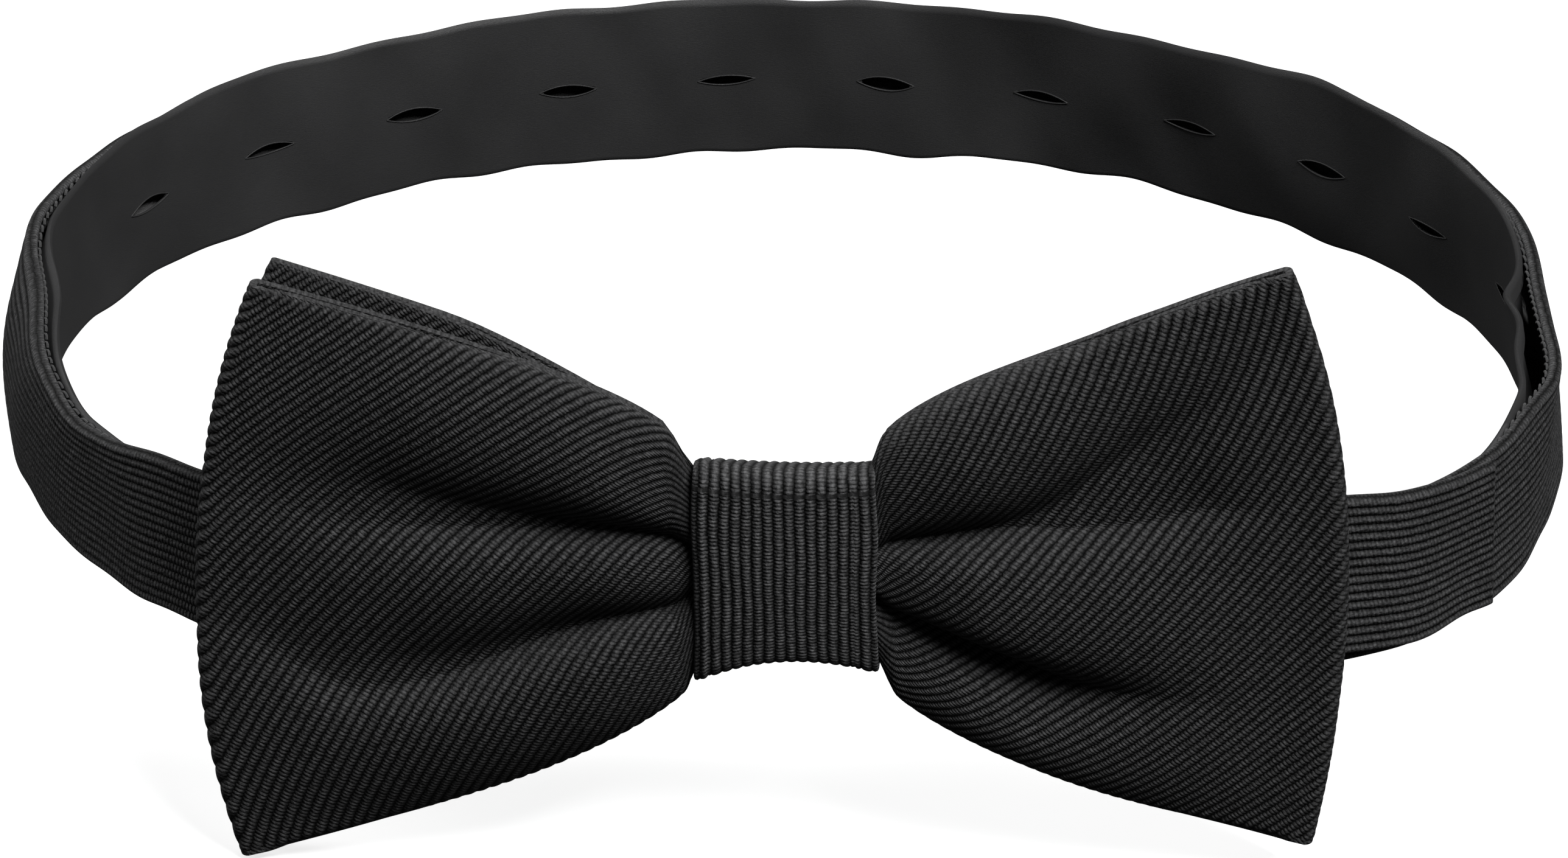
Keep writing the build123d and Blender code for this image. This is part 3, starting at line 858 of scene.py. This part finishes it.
# ---------------------------------------------------------------- neckband and strap
def lining_pucker(s, z):
    """How far the satin stands off the band: soft slanting wrinkles and the open pocket at the right."""
    up = z / BAND_HALF
    lean = s + 0.5 * z
    soft = 0.5 + 0.6 * waver(lean, 27.0, 0.4) + 0.35 * waver(s - 0.3 * z, 15.0, 1.9)
    deep = 0.9 * hump(lean, 150, 6) + 0.9 * hump(s - 0.6 * z, 172, 7) + 0.5 * hump(lean, 196, 6)
    held = np.clip(1 - up**2, 0, 1)
    top = np.clip((1 + up) / 2, 0, 1.1) ** 1.5
    pocket = 2.7 * hump(s, 99, 8) + 2.2 * hump(s, 113, 5)
    loft = 0.9 * hump(s, 350, 18)
    return -(0.4 * soft + deep) * held - (pocket + loft) * top


def lap_down(s, z):
    """The strap's free end lies down on the band."""
    return -1.25 * smooth(62, 74, s) + 0 * z


def seam(start, stop, out, z, strap):
    """Stitch paths along the groove between a band's cloth and its lining."""
    paths = []
    t = np.linspace(-0.5, 0.5, 7)
    for s in np.arange(start + STITCH_PITCH / 2, stop - STITCH_PITCH / 2, STITCH_PITCH):
        along = s + t * STITCH_PITCH * 0.7
        paths.append(place(along, out - 0.25 * t, z + 0.12 - 0.3 * (2 * t) ** 2, strap))
    return paths


def build_layers(kind, start, stop, nodes, hold, rounded=(), strap=False):
    """Cloth, interlining, lining and edge seams of one stretch of the band, or of the strap."""
    centre = STRAP_OUT if strap else BAND_OUT
    cloth_out = centre + (BAND_THICK - CLOTH_FOLD) / 2
    lining_out = centre - (BAND_THICK - LINING_FOLD) / 2
    inner_start = start + END_HEM * (start in rounded)
    inner_stop = stop - END_HEM * (stop in rounded)
    lining_stop = LAP_START if strap else inner_stop
    lining_half = BAND_HALF - (STRAP_LINING_INSET if strap else LINING_INSET)
    cloth_path = folded_path(BAND_HALF, CLOTH_FOLD, BAND_CLOTH_THICK, CLOTH_LIP, step=0.17)
    felt_path = flat_path(0.0, FELT_HALF, step=0.7)
    lining_path = folded_path(lining_half, LINING_FOLD, LINING_THICK, LINING_LIP, step=0.35, facing=-1)
    gape = {} if strap else GAPE
    pucker = {"cloth": lap_down, "interlining": lap_down} if strap else {"lining": lining_pucker}
    made = {
        "cloth": strip(kind + "_cloth_folded", cloth_path, cloth_out, (start, stop), 0.8,
                       BAND_CLOTH_THICK, BAND_CLOTH, ribs=True, gape=gape.get("cloth"),
                       strap=strap, rounded=rounded, pucker=pucker.get("cloth")),
        "interlining": strip(kind + "_felt", felt_path, cloth_out, (inner_start, inner_stop), 0.8,
                             FELT_THICK, FELT, gape=gape.get("interlining"),
                             strap=strap, pucker=pucker.get("interlining")),
        "lining": strip(kind + "_satin", lining_path, lining_out, (inner_start, lining_stop), 0.5,
                        LINING_THICK, SATIN, gape=gape.get("lining"),
                        strap=strap, pucker=pucker.get("lining")),
    }
    stitches = []
    seam_out = centre - BAND_THICK / 2 + LINING_FOLD + 0.08
    for side in (-1, 1):
        seam_z = side * (STRAP_SEAM_HALF if strap else SEAM_HALF)
        stitches += seam(start, lining_stop, seam_out, seam_z, strap)
    made["edge_stitches"] = tubes(kind + "_seams", stitches, SEAM_THREAD, THREAD)
    for layer, piece in made.items():
        finish_piece(piece, hold, [f"{node}_{layer}" for node in nodes])


def bending(first_s, second_s):
    """A hold that only bakes a piece of the band's place into its mesh; it gives the piece no body and
    does not bend it.
    """
    start, end = place(np.array([first_s, second_s]), BAND_OUT, 0.0) * MM
    return lambda piece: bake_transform(piece)


# The band is made in stretches.
FLEX_START = LEFT_FLEX - 14
FLEX_END = LEFT_FLEX + 20
TAIL_STOP = TAIL_FOLD + 14
OVER_LEFT = bending(LEFT_FLEX + 8, LEFT_FLEX - 8)
OVER_TAIL = bending(TAIL_FOLD + 1, TAIL_FOLD - 12)

build_layers("band_main", TAIL_STOP, FLEX_START, ["neckband"], riding("neckband"))
build_layers("band_bend", FLEX_START, FLEX_END, ["neckband", "band_left"], OVER_LEFT)
build_layers("band_left", FLEX_END, LEFT_END, ["band_left"], riding("strap"), rounded=(LEFT_END,))
build_layers("band_tail", TAIL_END, TAIL_STOP, ["tail", "neckband"], OVER_TAIL, rounded=(TAIL_END,))
build_layers("front_strap", -LEFT_STRAP_END, STRAP_END, ["strap"], riding("strap"),
             rounded=(-LEFT_STRAP_END, STRAP_END), strap=True)


def slot_rim(k):
    """The thread round one slot, on the lining's face."""
    t = np.linspace(0, 2 * np.pi, 29)
    s = FIRST_SLOT + SLOT_PITCH * k + (SLOT_LENGTH / 2 + 0.05) * np.cos(t)
    half = SLOT_HEIGHT / 2 * slot_open(k, GAPE["lining"]) + 0.1
    inner = BAND_OUT - BAND_THICK / 2 - 0.02
    return place(s, inner + lining_pucker(s, 0 * s), half * np.sin(t) * np.abs(np.sin(t)))


rims = tubes("slot_threads", [slot_rim(k) for k in range(SLOT_COUNT)], SLOT_THREAD, SATIN)
finish_piece(rims, riding("neckband"), ["slot_rims"])


# ---------------------------------------------------------------- knot
# The knot's side view: corners (y, height above the bow's middle, rounding).
KNOT_RING = (
    (KNOT_FRONT, KNOT_TALL, 1.9),
    (KNOT_BACK, 6.6, 1.6),
    (KNOT_BACK, -12.4, 1.6),
    (KNOT_FRONT, -KNOT_TALL - 0.3, 1.9),
)


def rounded_ring(corners, step):
    """Points, outward directions and run of a closed polygon with rounded corners."""
    points, outward = [], []
    count = len(corners)
    for k in range(count):
        before, here, after = (np.array(corners[(k + d) % count][:2]) for d in (-1, 0, 1))
        radius = corners[k][2]
        u = (before - here) / np.linalg.norm(before - here)
        v = (after - here) / np.linalg.norm(after - here)
        half = np.arccos(np.clip(u @ v, -1, 1)) / 2
        centre = here + (u + v) / np.linalg.norm(u + v) * radius / np.sin(half)
        start = here + u * radius / np.tan(half) - centre
        end = here + v * radius / np.tan(half) - centre
        a0 = np.arctan2(start[1], start[0])
        turn = (np.arctan2(end[1], end[0]) - a0 + np.pi) % (2 * np.pi) - np.pi
        for a in a0 + turn * np.linspace(0, 1, 9):
            points.append(centre + radius * np.array([np.cos(a), np.sin(a)]))
            outward.append([np.cos(a), np.sin(a)])
    points, outward = np.array(points + points[:1]), np.array(outward + outward[:1])
    run = np.concatenate([[0], np.cumsum(np.linalg.norm(np.diff(points, axis=0), axis=1))])
    even = np.linspace(0, run[-1], int(run[-1] / step) + 1)[:-1]
    points, outward = (
        np.stack([np.interp(even, run, part[:, k]) for k in (0, 1)], -1) for part in (points, outward)
    )
    return points, outward / np.linalg.norm(outward, axis=1, keepdims=True), even


def knot_points(ring, outward, x, offset):
    """The ring's points moved out by offset and shaped: pinched in its middle, full in front."""
    y = ring[:, None, 0] + outward[:, None, 0] * offset
    z = ring[:, None, 1] + outward[:, None, 1] * offset
    waist = 1 - (x / KNOT_HALF) ** 2
    z = z * (1 - waist * np.where(z > 0, 0.055, 0.17)) * (1 - 0.0065 * x * (z < 0))
    front = smooth(KNOT_BACK - 4.8, KNOT_FRONT + 1.4, y)
    y = y - front * (0.55 * (1 - (z / KNOT_TALL) ** 2) + 0.35 * waist)
    x = x * (1 + 0.012 * np.sin(0.35 * z)) + 0.05 * np.sin(0.55 * z + 0.6 * x)
    return np.stack(np.broadcast_arrays(x, y, z + BOW_Z), -1)


def ring_mesh(name, path, thick, material, ribs):
    """A closed band round the bow's middle, from a section like folded_path's."""
    ring, outward, run = rounded_ring(KNOT_RING, 0.5)
    off, x, n_off, n_x, w = (row[None] for row in path)
    raised = 0
    weave = None
    if ribs:
        seams = hump(x, -KNOT_HALF + 1.35, 0.16) + hump(x, KNOT_HALF - 2.35, 0.16)
        raised = RIB_HEIGHT * 1.15 * (cord_shape(w / RIB) - 0.5) - 0.22 * seams * (n_off > 0)
        one = np.stack(np.broadcast_arrays(w / RIB, run[:, None] / CROSS_THREAD), -1).reshape(-1, 2)
        weave = np.concatenate([one, one])
    skins = [knot_points(ring, outward, x + n_x * depth, off + n_off * depth)
             for depth in (thick / 2 + raised, -thick / 2)]
    n, m = skins[0].shape[:2]
    first = np.arange(n * m).reshape(n, m)
    second = first + n * m
    after = np.roll(np.arange(n), -1)
    faces = []
    for f in (first, second):
        faces.append(np.stack([f[:, :-1], f[after, :-1], f[after, 1:], f[:, 1:]], -1).reshape(-1, 4))
    for j in (0, -1):
        faces.append(np.stack([first[:, j], first[after, j], second[after, j], second[:, j]], -1))
    points = np.concatenate([skin.reshape(-1, 3) for skin in skins])
    return make_object(name, points, np.concatenate(faces).tolist(), material, weave)


def gathering_turn(x):
    """One turn of the thread that gathers the bow loops, inside the knot."""
    t = np.linspace(0, 2 * np.pi, 60)
    y = STRAP_FACE - 3.5 + 2.2 * np.cos(t)
    return np.stack([x + 0.3 * np.sin(t), y, BOW_Z + 6.2 * np.sin(t)], -1)


def whip_stitch(k):
    """One of the stitches that close the knot at its back, from the lowest up."""
    t = np.linspace(-1, 1, 9)
    z = BOW_Z - 9.3 + 1.9 * k
    return np.stack([1.1 * t, KNOT_BACK + 0.15 + 0.35 * t**2, z + 0.5 * t], -1)


def build_knot():
    """The knot's folded cloth, its interlining, the gathering thread and the closing stitches."""
    path = folded_path(KNOT_HALF, KNOT_THICK, KNOT_PLY, KNOT_LIP, step=0.16)
    path[0] -= KNOT_THICK / 2
    felt_path = flat_path(-KNOT_THICK / 2, KNOT_FELT_HALF, step=1.4, facing=1)
    cloth = ring_mesh("knot_wrap", path, KNOT_PLY, KNOT_CLOTH, ribs=True)
    felt_ring = ring_mesh("knot_felt", felt_path, KNOT_FELT_THICK, FELT, ribs=False)
    turns = [gathering_turn(x) for x in (-0.8, 0.0, 0.8)]
    gather = tubes("gathering_threads", turns, GATHERING_THREAD, THREAD)
    whip = [whip_stitch(k) for k in range(KNOT_STITCHES)]
    stitches = tubes("knot_whip", whip, WHIP_THREAD, THREAD)
    for piece, node, slot in (
        (cloth, "knot_cloth", "ribbed_cloth"),
        (felt_ring, "knot_interlining", "interlining"),
        (gather, "gathering_thread", "thread"),
        (stitches, "knot_stitches", "thread"),
    ):
        finish_piece(piece, riding("bow"), [node])


build_knot()

# The hook and the stitches round it stay as they are in the frame, with better finishes.
for node, material in (("hook", STEEL), ("hook_tacks", THREAD), ("lap_stitches", THREAD)):
    mesh = frame["nodes"][node].data
    mesh.materials.clear()
    mesh.materials.append(material)


# ---------------------------------------------------------------- camera, light, floor
def add_object(name, data, matrix=None):
    """A new object in the scene, turned and placed by a matrix."""
    thing = bpy.data.objects.new(name, data)
    bpy.context.scene.collection.objects.link(thing)
    if matrix is not None:
        thing.matrix_world = matrix
    return thing


def build_camera():
    """A long lens at the photograph's viewing angle."""
    azimuth, elevation, roll = np.radians([4.03, 29.82, -0.78])
    distance = 1.559
    target = Vector((-4.23, -5.5, -9.96)) * MM
    level = np.cos(elevation)
    back = Vector((np.sin(azimuth) * level, -np.cos(azimuth) * level, np.sin(elevation)))
    camera = bpy.data.cameras.new("camera")
    camera.lens, camera.sensor_width = 330.0, 36.0
    camera.clip_start, camera.clip_end = 0.1, 20.0
    turn = back.to_track_quat("Z", "Y").to_matrix().to_4x4() @ Matrix.Rotation(roll, 4, "Z")
    holder = add_object("camera", camera, Matrix.Translation(target + back * distance) @ turn)
    bpy.context.scene.camera = holder


# The cloth hangs a little below the CAD bow, so the floor is this far under the CAD box.
FLOOR_GAP = 1.722


def build_floor():
    """A pale floor just under the bow's lowest corner. It lights nothing from below."""
    half = 4.0
    low = cad_box[0][2] - FLOOR_GAP * MM
    mesh = bpy.data.meshes.new("floor")
    corners = [(x, y, low) for x, y in ((-half, -half), (half, -half), (half, half), (-half, half))]
    mesh.from_pydata(corners, [], [(0, 1, 2, 3)])
    floor = add_object("floor", mesh)
    pale = Shader("floor").set(Base_Color=(0.6, 0.6, 0.6, 1), Roughness=0.9,
                               Emission_Color=(1, 1, 1, 1), Emission_Strength=0.75)
    mesh.materials.append(pale)
    floor.visible_diffuse = False
    floor.visible_glossy = False


def build_lights():
    """Soft studio lights, aimed at the origin, and a dim even surround."""
    for name, place_at, width, power in (
        ("key", (0.8, -0.95, 1.88), 0.9, 57.0),
        ("side", (-1.7, 0.5, 0.9), 0.8, 13.0),
        ("back", (-0.3, 1.3, 1.7), 1.0, 12.0),
    ):
        light = bpy.data.lights.new(name, "AREA")
        light.size, light.energy = width, power
        aimed = Vector(place_at).to_track_quat("Z", "Y").to_matrix().to_4x4()
        add_object(name, light, Matrix.Translation(place_at) @ aimed)
    world = bpy.data.worlds.new("world")
    world.use_nodes = True
    background = world.node_tree.nodes["Background"]
    background.inputs["Color"].default_value = (1, 1, 1, 1)
    background.inputs["Strength"].default_value = 0.03
    bpy.context.scene.world = world
    bpy.context.scene.view_settings.view_transform = "Standard"


build_camera()
build_floor()
build_lights()
